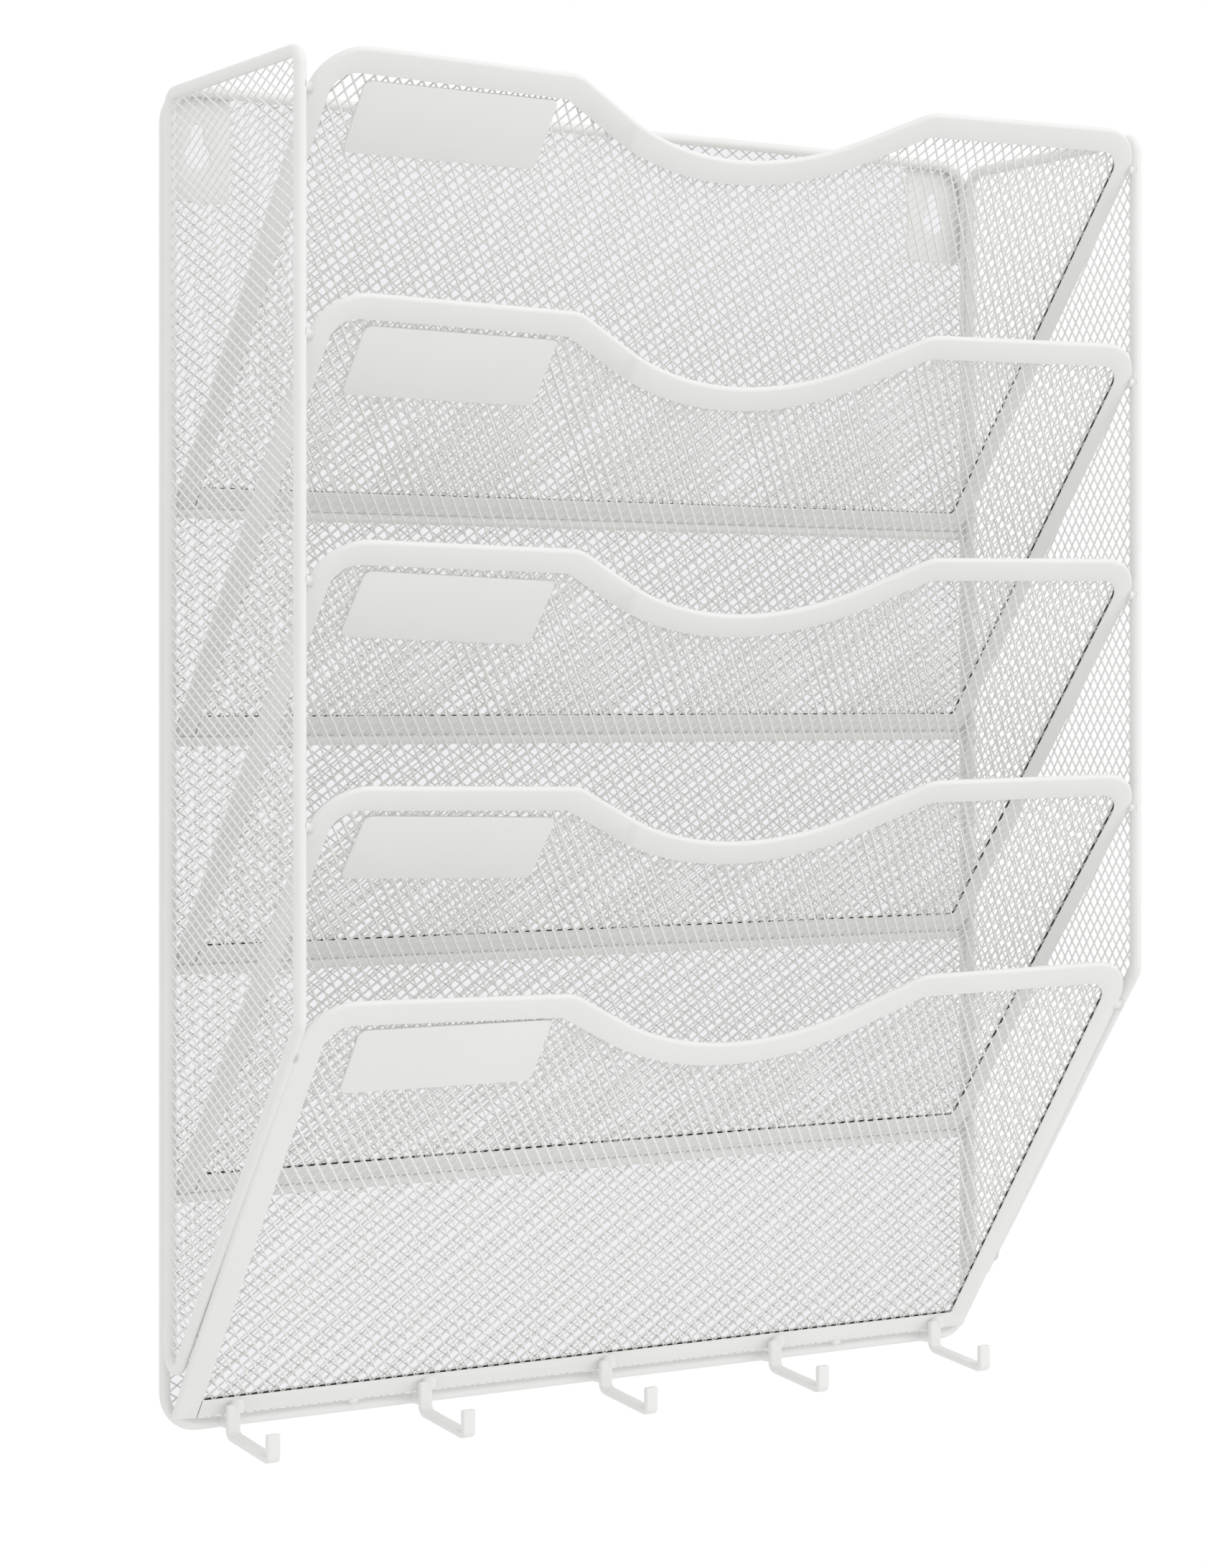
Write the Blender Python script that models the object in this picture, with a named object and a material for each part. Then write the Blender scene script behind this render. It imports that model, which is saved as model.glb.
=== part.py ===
"""Wall-hung document rack with five tilted mesh pockets and five hooks, all welded steel.

Metres, +Z up, X to the right as seen from the front, which looks along -Y.
The origin is on the wall, midway between the two screws that the rack hangs on.
The pieces are placed from one empty, rack_foot: its own origin is the middle of the
back frame's bottom wire, on that wire's axis.
"""

import math

import bmesh
import bpy
from mathutils import Matrix, Vector

# Gap left between two pieces that are welded together on the real rack
touch_gap = 0.0003

# Back frame: one wire bent into a rectangle, measured between the wire's axes
frame_width = 0.320
frame_height = 0.4273
back_wire_radius = 0.0018
back_bend_radius = 0.0112

# Cross wires: one across the back frame under each of the four upper pockets
pocket_spacing = 0.073
upper_pockets = 4
cross_wire_radius = 0.00175

# Side frames: one wire each, with the front corner bent back to a heel near the bottom,
# which sits a little higher on the right one
side_wire_radius = 0.002
front_reach = 0.096
side_slant = math.radians(36.3)
side_top_drop = 0.0026
left_heel_height = 0.0112
right_heel_height = 0.0139
side_top_bend = 0.005
side_front_bend = 0.006
side_heel_bend = 0.0044

# Pocket fronts: a flat stamped rim with a net behind it, leaning out from its wire
upper_tilt = math.radians(38.3)
rim_side_clearance = 0.0007
rim_overhang = 0.0092
rim_thickness = 0.001
rim_bottom_band = 0.0078
rim_side_band = 0.0071
rim_top_band = 0.0085
rim_corner_inner_radius = 0.008
rim_foot_radius = 0.001

# Lowest pocket front: it leans less, stands forward of the bottom wire's axis, and its
# right side is drawn in a little and has a wider band
lowest_tilt = math.radians(35.0)
lowest_forward = 0.0012
lowest_stand_off = 0.0024
lowest_overhang = 0.0042
lowest_right_inset = 0.0008
lowest_right_band = 0.0087
lowest_nub_setback = 0.0071

# Finger notch in the middle of each rim's top edge
notch_depth = 0.0256
notch_radius = 0.093
notch_slope = math.radians(29.0)
shoulder_slope = math.radians(1.2)
knee_inner_radius = 0.0045

# Weld nub that ties each rim's edge to the front wire beside it
nub_radius = 0.0015

# Label plates on the nets, some of them put on a little askew, their right end low
label_width = 0.067
label_height = 0.0246
label_thickness = 0.0008
label_corner_radius = 0.0025
label_top_gap = 0.0008
label_side_gap = 0.0107
label_turns = [math.radians(turn) for turn in (0, 0.8, 2.2, 1.9, 0)]

# Nets of expanded steel, drawn about ten times coarser than the real ones: how many
# gaps fit across each net and how many up it
pocket_net_gaps = (7, 2.6)
right_net_gaps = (2.1, 6.6)
left_net_gaps = (1.3, 10.6)
back_net_gaps = (5.3, 10.2)
net_thickness = 0.0007
net_strand = 0.003
net_edge_band_share = 0.5

# Hanger plates in the back frame's top corners, each with a keyhole
plate_width = 0.024
plate_height = 0.0353
plate_thickness = 0.001
plate_corner_radius = 0.002
keyhole_inset = 0.0125
keyhole_drop = 0.0203
keyhole_radius = 0.0045
keyhole_slot_radius = 0.00225
keyhole_slot_rise = 0.00775

# Hooks: a flat strip bent forward under the bottom wire and up again at its tip
hook_count = 5
hook_end_inset = 0.020
hook_width = 0.0045
hook_thickness = 0.0021
hook_stem_top = 0.0068
hook_arm_drop = 0.0032
hook_arm_fall = 0.0026
hook_reach = 0.0289
hook_tip_height = 0.0084
hook_stem_inner_bend = 0.0016
hook_tip_inner_bend = 0.0004
hook_end_radius = 0.0003
hook_weld_radius = 0.0014

# How far a cutting or joining solid runs past the surface it works on
overrun = 0.0005

# Facets, and the angle over which an edge between them stays sharp
sharp_angle = math.radians(35)
wire_facets = 10
bend_segments = 5
notch_segments = 9
hole_segments = 16

# Places worked out from the sizes above
half_width = frame_width / 2
behind_wires = back_wire_radius + touch_gap
wall_distance = behind_wires + plate_thickness
net_setback = rim_thickness / 2 + touch_gap
side_rear = -(behind_wires + side_wire_radius)
side_top = frame_height - side_top_drop
screw_height = frame_height - keyhole_drop + keyhole_slot_rise
half_rim = half_width - side_wire_radius - rim_side_clearance
rim_corner_radius = rim_corner_inner_radius + rim_top_band
knee_radius = knee_inner_radius + rim_top_band
side_rise = (front_reach + side_rear) / math.tan(side_slant)
side_bends = [side_front_bend, side_heel_bend, side_top_bend, side_top_bend]

# What the two kinds of pocket front differ in
upper_front = {
    "tilt": upper_tilt,
    "forward": 0,
    "foot": cross_wire_radius + touch_gap,
    "reach": front_reach + rim_overhang,
    "nub_reach": front_reach,
    "right_inset": 0,
    "right_band": rim_side_band,
}
lowest_front = {
    "tilt": lowest_tilt,
    "forward": lowest_forward,
    "foot": back_wire_radius + lowest_stand_off,
    "reach": front_reach + lowest_overhang,
    "nub_reach": front_reach - lowest_nub_setback,
    "right_inset": lowest_right_inset,
    "right_band": lowest_right_band,
}

# Finishes
coat_colour = (0.84, 0.84, 0.825, 1.0)
label_colour = (0.80, 0.80, 0.785, 1.0)
coat_roughness = 0.45


def clear_scene():
    for item in list(bpy.data.objects):
        bpy.data.objects.remove(item, do_unlink=True)


def finish(name, colour):
    """A powder-coated surface for one piece."""
    material = bpy.data.materials.new(name)
    material.use_nodes = True
    surface = material.node_tree.nodes["Principled BSDF"]
    surface.inputs["Base Color"].default_value = colour
    surface.inputs["Roughness"].default_value = coat_roughness
    surface.inputs["Metallic"].default_value = 0.0
    material.diffuse_color = colour
    return material


def add_empty(name, parent=None, location=(0, 0, 0), tilt=0.0, forward=0.0):
    """A frame of reference that pieces are placed in, moved along its own -Y."""
    empty = bpy.data.objects.new(name, None)
    bpy.context.collection.objects.link(empty)
    empty.parent = parent
    shift = Vector((0, math.cos(tilt), math.sin(tilt))) * forward
    empty.location = Vector(location) - shift
    empty.rotation_euler = (tilt, 0, 0)
    return empty


def add_piece(name, data, parent, location=(0, 0, 0), turned=False, colour=coat_colour):
    """One named sub-part; a turned one has its drawing plane facing sideways."""
    piece = bpy.data.objects.new(name, data)
    bpy.context.collection.objects.link(piece)
    piece.parent = parent
    piece.location = location
    piece.rotation_euler = (0, 0, math.pi / 2 if turned else 0)
    piece.data.materials.clear()
    piece.data.materials.append(finish(name, colour))
    return piece


def moved_edge(start, end, distance):
    """The line through two points, moved to its left by a distance."""
    along = (end - start).normalized()
    return start + Vector((-along.y, along.x)) * distance, along


def inset(corners, distances):
    """An anticlockwise outline with each edge moved inwards by its own distance."""
    count = len(corners)
    edges = [moved_edge(corners[i], corners[(i + 1) % count], distances[i]) for i in range(count)]
    result = []
    for i in range(count):
        start, along = edges[i - 1]
        other, across = edges[i]
        reach = (other - start).cross(across) / along.cross(across)
        result.append(start + along * reach)
    return result


def rounded(corners, radii, segments):
    """Points round an outline whose corners are arcs with these radii and segments."""
    points = []
    for i, corner in enumerate(corners):
        before = (corners[i - 1] - corner).normalized()
        after = (corners[(i + 1) % len(corners)] - corner).normalized()
        half_angle = before.angle(after) / 2
        centre = corner + (before + after).normalized() * radii[i] / math.sin(half_angle)
        tangent = radii[i] / math.tan(half_angle)
        start = corner + before * tangent - centre
        end = corner + after * tangent - centre
        turn = math.pi - 2 * half_angle
        for step in range(segments[i] + 1):
            share = step / segments[i]
            arm = start * math.sin((1 - share) * turn) + end * math.sin(share * turn)
            points.append(centre + arm / math.sin(turn))
    return points


def rectangle(left, right, bottom, top):
    """The corners of a rectangle, anticlockwise from its bottom left."""
    return [Vector((left, bottom)), Vector((right, bottom)), Vector((right, top)), Vector((left, top))]


def new_mesh(name, shape):
    """A mesh from a bmesh, with its faces pointing out and its round sides smooth."""
    bmesh.ops.recalc_face_normals(shape, faces=shape.faces)
    mesh = bpy.data.meshes.new(name)
    shape.to_mesh(mesh)
    shape.free()
    mesh.shade_smooth()
    mesh.set_sharp_from_angle(angle=sharp_angle)
    return mesh


def plate_mesh(name, outline, front, thickness):
    """An outline in the XZ plane, thickened backwards from its front's Y."""
    shape = bmesh.new()
    face = shape.faces.new([shape.verts.new((p.x, front, p.y)) for p in outline])
    grown = bmesh.ops.extrude_face_region(shape, geom=[face])["geom"]
    moved = [item for item in grown if isinstance(item, bmesh.types.BMVert)]
    bmesh.ops.translate(shape, verts=moved, vec=(0, thickness, 0))
    return new_mesh(name, shape)


def ring_mesh(name, outer, inner, front, thickness):
    """A flat band between two outlines that have the same number of points."""
    shape = bmesh.new()
    rear = front + thickness
    rows = []
    for outline, depth in ((outer, front), (inner, front), (inner, rear), (outer, rear)):
        rows.append([shape.verts.new((p.x, depth, p.y)) for p in outline])
    for row, following in zip(rows, rows[1:] + rows[:1]):
        for i in range(len(outer)):
            shape.faces.new((row[i - 1], row[i], following[i], following[i - 1]))
    return new_mesh(name, shape)


def rod_mesh(name, radius, start, end, height=0.0):
    """A straight round rod along X between two places, at a height."""
    shape = bmesh.new()
    size = {"radius1": radius, "radius2": radius, "depth": abs(end - start)}
    bmesh.ops.create_cone(shape, cap_ends=True, segments=wire_facets, **size)
    mesh = new_mesh(name, shape)
    middle = Vector(((start + end) / 2, 0, height))
    mesh.transform(Matrix.Translation(middle) @ Matrix.Rotation(math.pi / 2, 4, "Y"))
    return mesh


def wire_loop(name, corners, radii, segments, wire_radius):
    """A round wire along a closed outline in the XZ plane."""
    curve = bpy.data.curves.new(name, "CURVE")
    curve.dimensions = "3D"
    curve.bevel_depth = wire_radius
    curve.bevel_resolution = wire_facets // 2 - 2
    spline = curve.splines.new("POLY")
    points = rounded(corners, radii, segments)
    spline.points.add(len(points) - 1)
    for place, point in zip(spline.points, points):
        place.co = (point.x, 0, point.y, 1)
    spline.use_cyclic_u = True
    spline.use_smooth = True
    return curve


def combined(mesh, tool_mesh, operation):
    """The mesh joined with, cut by or limited to a second mesh."""
    body = bpy.data.objects.new("body", mesh)
    tool = bpy.data.objects.new("tool", tool_mesh)
    for item in (body, tool):
        bpy.context.collection.objects.link(item)
    step = body.modifiers.new("combine", "BOOLEAN")
    step.operation = operation
    step.solver = "EXACT"
    step.object = tool
    evaluated = body.evaluated_get(bpy.context.evaluated_depsgraph_get())
    result = bpy.data.meshes.new_from_object(evaluated)
    for item in (body, tool):
        bpy.data.objects.remove(item)
    return result


def largest_piece(mesh):
    """The mesh without the strand ends that a cut has left loose."""
    shape = bmesh.new()
    shape.from_mesh(mesh)
    unseen = set(shape.faces)
    pieces = []
    while unseen:
        piece = [unseen.pop()]
        for face in piece:
            joined = {other for edge in face.edges for other in edge.link_faces} & unseen
            unseen -= joined
            piece.extend(joined)
        pieces.append(piece)
    main = max(pieces, key=lambda piece: sum(face.calc_area() for face in piece))
    loose = [face for piece in pieces if piece is not main for face in piece]
    bmesh.ops.delete(shape, geom=loose, context="FACES")
    shape.to_mesh(mesh)
    shape.free()
    return mesh


def net_mesh(name, outline, gaps, front):
    """A sheet of crossing strands with diamond gaps, trimmed to an outline.

    A crossing has a corner on each of the four gaps around it, and each strand
    joins two corners of one crossing to two corners of the next.
    """
    low = Vector((min(p.x for p in outline), min(p.y for p in outline)))
    high = Vector((max(p.x for p in outline), max(p.y for p in outline)))
    middle = (low + high) / 2
    half_across = (high.x - low.x) / gaps[0] / 2
    half_up = (high.y - low.y) / gaps[1] / 2
    share = net_strand / 2 * math.hypot(half_across, half_up) / (half_across * half_up)
    side = Vector((half_across * share, 0))
    up = Vector((0, half_up * share))
    columns = math.ceil(gaps[0]) + 1
    rows = math.ceil(gaps[1]) + 1
    shape = bmesh.new()
    crossings = {}
    for i in range(-columns, columns + 1):
        for j in range(-rows, rows + 1):
            if (i + j) % 2 == 0:
                centre = middle + Vector((i * half_across, j * half_up))
                tips = [centre - side, centre - up, centre + side, centre + up]
                crossings[i, j] = [shape.verts.new((p.x, front, p.y)) for p in tips]
    for (i, j), (left, below, right, above) in crossings.items():
        shape.faces.new((left, below, right, above))
        if (i + 1, j + 1) in crossings:
            beyond = crossings[i + 1, j + 1]
            shape.faces.new((above, right, beyond[1], beyond[0]))
        if (i + 1, j - 1) in crossings:
            beyond = crossings[i + 1, j - 1]
            shape.faces.new((right, below, beyond[0], beyond[3]))
    grown = bmesh.ops.extrude_face_region(shape, geom=list(shape.faces))["geom"]
    moved = [item for item in grown if isinstance(item, bmesh.types.BMVert)]
    bmesh.ops.translate(shape, verts=moved, vec=(0, net_thickness, 0))
    trim = plate_mesh("trim", outline, front - overrun, net_thickness + 2 * overrun)
    return largest_piece(combined(new_mesh(name, shape), trim, "INTERSECT"))


def build_back_frame(foot):
    corners = rectangle(-half_width, half_width, 0, frame_height)
    bends = [back_bend_radius] * 4
    loop = wire_loop("back_frame", corners, bends, [bend_segments] * 4, back_wire_radius)
    add_piece("back_frame", loop, foot)


def build_cross_wire(foot, number, height):
    end = half_width - back_wire_radius - touch_gap
    name = f"cross_wire_{number}"
    add_piece(name, rod_mesh(name, cross_wire_radius, -end, end), foot, (0, 0, height))


def back_net_outline():
    """The back frame's outline, with its top corners cut out for the hanger plates."""
    corners = rectangle(-half_width, half_width, 0, frame_height)
    outline = rounded(corners, [back_bend_radius] * 4, [bend_segments] * 4)
    below = [point for point in outline if point.y < frame_height / 2]
    notch_side = half_width - plate_width - touch_gap
    notch_bottom = frame_height - plate_height - touch_gap
    notch = ((half_width, notch_bottom), (notch_side, notch_bottom), (notch_side, frame_height))
    right = [Vector(place) for place in notch]
    left = [Vector((-place.x, place.y)) for place in reversed(right)]
    return below + right + left


def build_back_net(foot):
    mesh = net_mesh("back_mesh", back_net_outline(), back_net_gaps, behind_wires)
    add_piece("back_mesh", mesh, foot)


def keyhole_outline():
    """A round hole with a narrower slot rising from it, round at its top."""
    slot_angle = math.asin(keyhole_slot_radius / keyhole_radius)
    first = math.pi / 2 + slot_angle
    sweep = 2 * math.pi - 2 * slot_angle
    points = []
    for step in range(hole_segments + 1):
        angle = first + sweep * step / hole_segments
        points.append(Vector((math.cos(angle), math.sin(angle))) * keyhole_radius)
    top = Vector((0, keyhole_slot_rise))
    half = hole_segments // 2
    for step in range(half + 1):
        angle = math.pi * step / half
        points.append(top + Vector((math.cos(angle), math.sin(angle))) * keyhole_slot_radius)
    return points


def build_hanger_plate(foot, side_name, side):
    """One corner plate: its outer corner follows the back frame's bend."""
    inner = half_width - plate_width
    corners = rectangle(inner, half_width, frame_height - plate_height, frame_height)
    radii = [plate_corner_radius, plate_corner_radius, back_bend_radius, plate_corner_radius]
    outline = rounded(corners, radii, [bend_segments] * 4)
    sheet = plate_mesh("sheet", outline, behind_wires, plate_thickness)
    centre = Vector((half_width - keyhole_inset, frame_height - keyhole_drop))
    hole = [point + centre for point in keyhole_outline()]
    cutter = plate_mesh("keyhole", hole, behind_wires - overrun, plate_thickness + 2 * overrun)
    mesh = combined(sheet, cutter, "DIFFERENCE")
    if side < 0:
        for vertex in mesh.vertices:
            vertex.co.x = -vertex.co.x
        mesh.flip_normals()
    add_piece(f"hanger_plate_{side_name}", mesh, foot)


def side_corners(heel_height):
    """The side wire's corners, front to back: bend, heel, then the two at the top."""
    return [
        Vector((-front_reach, heel_height + side_rise)),
        Vector((side_rear, heel_height)),
        Vector((side_rear, side_top)),
        Vector((-front_reach, side_top)),
    ]


def build_side(foot, side_name, side, heel_height, gaps):
    """One side frame and the net that fills it."""
    corners = side_corners(heel_height)
    frame_name = f"side_frame_{side_name}"
    loop = wire_loop(frame_name, corners, side_bends, [bend_segments] * 4, side_wire_radius)
    place = (side * half_width, 0, 0)
    add_piece(frame_name, loop, foot, place, turned=True)
    margin = side_wire_radius + touch_gap
    inner_bends = [bend - margin for bend in side_bends]
    outline = rounded(inset(corners, [margin] * 4), inner_bends, [bend_segments] * 4)
    net_name = f"side_mesh_{side_name}"
    mesh = net_mesh(net_name, outline, gaps, -net_thickness / 2)
    add_piece(net_name, mesh, foot, place, turned=True)


def rim_corners(bottom, top, right_inset):
    """The rim's corners: bottom, right side, notch and left side, anticlockwise."""
    right = half_rim - right_inset
    notch_point = top - notch_depth - notch_radius * (1 / math.cos(notch_slope) - 1)
    shoulder_start = half_rim - rim_corner_radius
    shoulder_fall = math.tan(shoulder_slope)
    knee = (top - shoulder_start * shoulder_fall - notch_point) / (math.tan(notch_slope) - shoulder_fall)
    knee_height = notch_point + knee * math.tan(notch_slope)
    side_height = top + rim_corner_radius * shoulder_fall
    return [
        Vector((-half_rim, bottom)),
        Vector((right, bottom)),
        Vector((right, side_height)),
        Vector((knee, knee_height)),
        Vector((0, notch_point)),
        Vector((-knee, knee_height)),
        Vector((-half_rim, side_height)),
    ]


def rim_outline(bottom, top, right_inset, right_band, inset_share):
    """The rim's outline, drawn in by a share of its bands: 0 is outside, 1 inside."""
    bands = [rim_bottom_band, right_band] + [rim_top_band] * 4 + [rim_side_band]
    insets = [band * inset_share for band in bands]
    corners = inset(rim_corners(bottom, top, right_inset), insets)
    tops = rim_top_band * inset_share
    corner = rim_corner_radius - tops
    knee = knee_radius - tops
    radii = [rim_foot_radius, rim_foot_radius, corner, knee, notch_radius + tops, knee, corner]
    bends = [bend_segments] * 7
    bends[4] = notch_segments
    return rounded(corners, radii, bends)


def label_top(bottom, top, right_inset, right_band, left, right):
    """The height of a label's top edge, just under the band at both its ends."""
    bands = [rim_bottom_band, right_band] + [rim_top_band] * 4 + [rim_side_band]
    corners = inset(rim_corners(bottom, top, right_inset), bands)
    shoulder, knee, notch = corners[6], corners[5], corners[4]
    heights = []
    for place in (left, right):
        on_shoulder = knee.y + (shoulder.y - knee.y) * (knee.x - place) / (knee.x - shoulder.x)
        on_notch = knee.y + (notch.y - knee.y) * (place - knee.x) / (notch.x - knee.x)
        heights.append(min(on_shoulder, on_notch))
    return min(heights) - label_top_gap


def turned_down(outline, pivot, angle):
    """An outline turned clockwise about a point."""
    turn = Matrix.Rotation(-angle, 2)
    return [pivot + turn @ (point - pivot) for point in outline]


def build_pocket(foot, number, height, kind):
    """One pocket front: its rim, the net behind the rim and the label plate."""
    tilt = kind["tilt"]
    frame = add_empty(f"pocket_{number}", foot, (0, 0, height), tilt, kind["forward"])
    top = kind["reach"] / math.sin(tilt)
    shape = (kind["foot"], top, kind["right_inset"], kind["right_band"])

    rim_front = -rim_thickness / 2
    rim = ring_mesh("rim", rim_outline(*shape, 0), rim_outline(*shape, 1), rim_front, rim_thickness)
    nub_height = kind["nub_reach"] / math.sin(tilt)
    tip = half_width - side_wire_radius - touch_gap
    for side in (-1, 1):
        narrowing = kind["right_inset"] if side > 0 else 0
        root = half_rim - narrowing - rim_side_band / 2
        nub = rod_mesh("nub", nub_radius, side * root, side * tip, nub_height)
        rim = combined(rim, nub, "UNION")
    add_piece(f"pocket_rim_{number}", rim, frame)

    edge = rim_outline(*shape, net_edge_band_share)
    net = net_mesh("net", edge, pocket_net_gaps, net_setback)
    add_piece(f"pocket_mesh_{number}", net, frame)

    left = -half_rim + rim_side_band + label_side_gap
    right = left + label_width
    upper = label_top(*shape, left, right)
    corners = rectangle(left, right, upper - label_height, upper)
    outline = rounded(corners, [label_corner_radius] * 4, [bend_segments] * 4)
    outline = turned_down(outline, corners[3], label_turns[number - 1])
    label_front = net_setback - touch_gap - label_thickness
    label = plate_mesh("label", outline, label_front, label_thickness)
    add_piece(f"label_plate_{number}", label, frame, colour=label_colour)


def strip_outline(path, thickness):
    """The corners of a strip along a path: down its left side and back up its right."""
    sides = []
    for distance in (thickness / 2, -thickness / 2):
        edges = [moved_edge(a, b, distance) for a, b in zip(path, path[1:])]
        side = [edges[0][0]]
        for (start, along), (other, across) in zip(edges, edges[1:]):
            side.append(start + along * ((other - start).cross(across) / along.cross(across)))
        last_start, last_along = edges[-1]
        side.append(last_start + last_along * (path[-1] - path[-2]).length)
        sides.append(side)
    return sides[0] + sides[1][::-1]


def hook_mesh():
    """A hook in its own drawing plane, with the weld that ties it to the bottom wire."""
    band_depth = (rim_thickness / 2 + lowest_forward) / math.cos(lowest_tilt)
    band_front = hook_stem_top * math.tan(lowest_tilt) + band_depth
    stem_rear = -band_front - touch_gap / math.cos(lowest_tilt)
    stem = stem_rear - hook_thickness / 2
    tip = stem - hook_reach
    arm_end = -hook_arm_drop - hook_arm_fall
    path = [
        Vector((stem, hook_stem_top)),
        Vector((stem, -hook_arm_drop)),
        Vector((tip, arm_end)),
        Vector((tip, arm_end + hook_tip_height)),
    ]
    inner = [hook_end_radius, hook_stem_inner_bend, hook_tip_inner_bend, hook_end_radius]
    outer = [hook_end_radius] + [bend + hook_thickness for bend in inner[1:3]] + [hook_end_radius]
    bends = [1, bend_segments, bend_segments, 1]
    outline = rounded(strip_outline(path, hook_thickness), outer + inner[::-1], bends + bends)
    strip = plate_mesh("strip", outline, -hook_width / 2, hook_width)
    weld = rod_mesh("weld", hook_weld_radius, stem, -behind_wires)
    return combined(strip, weld, "UNION")


def build_hooks(foot):
    first = -half_width + hook_end_inset
    pitch = -2 * first / (hook_count - 1)
    for number in range(hook_count):
        place = (first + number * pitch, 0, 0)
        add_piece(f"hook_{number + 1}", hook_mesh(), foot, place, turned=True)


def build_rack():
    clear_scene()
    foot = add_empty("rack_foot", location=(0, -wall_distance, -screw_height))
    build_back_frame(foot)
    build_back_net(foot)
    for number in range(1, upper_pockets + 1):
        height = pocket_spacing * (upper_pockets + 1 - number)
        build_cross_wire(foot, number, height)
        build_pocket(foot, number, height, upper_front)
    build_pocket(foot, upper_pockets + 1, 0, lowest_front)
    for side_name, side in (("left", -1), ("right", 1)):
        build_hanger_plate(foot, side_name, side)
    build_side(foot, "left", -1, left_heel_height, left_net_gaps)
    build_side(foot, "right", 1, right_heel_height, right_net_gaps)
    build_hooks(foot)


build_rack()
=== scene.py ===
"""Looks of a wall-hung document rack: five tilted mesh pockets and five hooks, all welded steel.

Metres, +Z up. X runs to the right as seen from the front, which looks along -Y.
"""

import math

import bmesh
import bpy
from mathutils import Matrix, Vector


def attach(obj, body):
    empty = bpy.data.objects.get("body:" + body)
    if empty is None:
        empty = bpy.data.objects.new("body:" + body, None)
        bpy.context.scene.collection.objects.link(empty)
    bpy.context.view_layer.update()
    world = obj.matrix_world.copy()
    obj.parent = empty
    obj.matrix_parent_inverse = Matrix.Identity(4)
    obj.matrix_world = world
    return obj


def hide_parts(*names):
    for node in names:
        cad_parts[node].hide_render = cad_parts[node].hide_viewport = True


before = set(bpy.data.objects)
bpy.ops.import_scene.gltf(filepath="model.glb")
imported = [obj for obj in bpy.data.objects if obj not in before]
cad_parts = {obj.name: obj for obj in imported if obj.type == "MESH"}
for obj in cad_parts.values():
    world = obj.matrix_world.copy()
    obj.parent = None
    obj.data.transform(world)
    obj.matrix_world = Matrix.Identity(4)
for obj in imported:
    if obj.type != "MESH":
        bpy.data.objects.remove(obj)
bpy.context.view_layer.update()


# Back frame. One steel wire bent to a rectangle with round corners and welded end to end.
# Everything else is welded to it, and the whole rack is then powder coated white.
rack_foot = Vector((0, -0.0031, -0.41475))
frame_width = 0.320
frame_height = 0.4273
half_width = frame_width / 2
back_wire_radius = 0.0018
back_bend_radius = 0.0112
bend_steps = 14
wire_roundness = 8
sharp_angle = math.radians(40)
wire_white = (0.86, 0.86, 0.848)
clouded_tint = (0.985, 0.982, 0.970)
thin_coat_shade = 0.80
grit_per_peel = 0.45
grit_height = 0.35
grain_depth = 0.035


def rounded(corners, radii, steps):
    """Points round a flat outline whose corners are arcs with these radii."""
    points = []
    for i, corner in enumerate(corners):
        before = (corners[i - 1] - corner).normalized()
        after = (corners[(i + 1) % len(corners)] - corner).normalized()
        half_angle = before.angle(after) / 2
        centre = corner + (before + after).normalized() * radii[i] / math.sin(half_angle)
        tangent = radii[i] / math.tan(half_angle)
        start = corner + before * tangent - centre
        end = corner + after * tangent - centre
        turn = math.pi - 2 * half_angle
        for step in range(steps[i] + 1):
            share = step / steps[i]
            arm = start * math.sin((1 - share) * turn) + end * math.sin(share * turn)
            points.append(centre + arm / math.sin(turn))
    return points


def rectangle(left, right, bottom, top):
    """The corners of a rectangle, anticlockwise from its bottom left."""
    places = ((left, bottom), (right, bottom), (right, top), (left, top))
    return [Vector(place) for place in places]


def mesh_of(item):
    """The finished mesh of an object, which is then removed with what it was made of."""
    evaluated = item.evaluated_get(bpy.context.evaluated_depsgraph_get())
    mesh = bpy.data.meshes.new_from_object(evaluated)
    bpy.data.objects.remove(item)
    return mesh


def scratch(data):
    """An object that only helps to make a mesh."""
    item = bpy.data.objects.new("scratch", data)
    bpy.context.scene.collection.objects.link(item)
    return item


def smooth_outside(mesh, sharp=sharp_angle):
    """Faces turned outwards, round sides smooth and real edges sharp."""
    shape = bmesh.new()
    shape.from_mesh(mesh)
    bmesh.ops.recalc_face_normals(shape, faces=shape.faces)
    shape.to_mesh(mesh)
    shape.free()
    mesh.shade_smooth()
    mesh.set_sharp_from_angle(angle=sharp)
    return mesh


def bent_wire(points, radius):
    """A round wire along a closed path."""
    curve = bpy.data.curves.new("wire", "CURVE")
    curve.dimensions = "3D"
    curve.bevel_depth = radius
    curve.bevel_resolution = wire_roundness
    spline = curve.splines.new("POLY")
    spline.points.add(len(points) - 1)
    for place, point in zip(spline.points, points):
        place.co = (point.x, point.y, point.z, 1)
    spline.use_cyclic_u = True
    return smooth_outside(mesh_of(scratch(curve)))


def add_node(tree, kind, feeds=None, **settings):
    """A node with its settings, fed by plain values and by other nodes' outputs."""
    node = tree.nodes.new(kind)
    for setting, value in settings.items():
        setattr(node, setting, value)
    for socket, feed in (feeds or {}).items():
        if isinstance(feed, bpy.types.NodeSocket):
            tree.links.new(feed, node.inputs[socket])
        else:
            node.inputs[socket].default_value = feed
    return node


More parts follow.
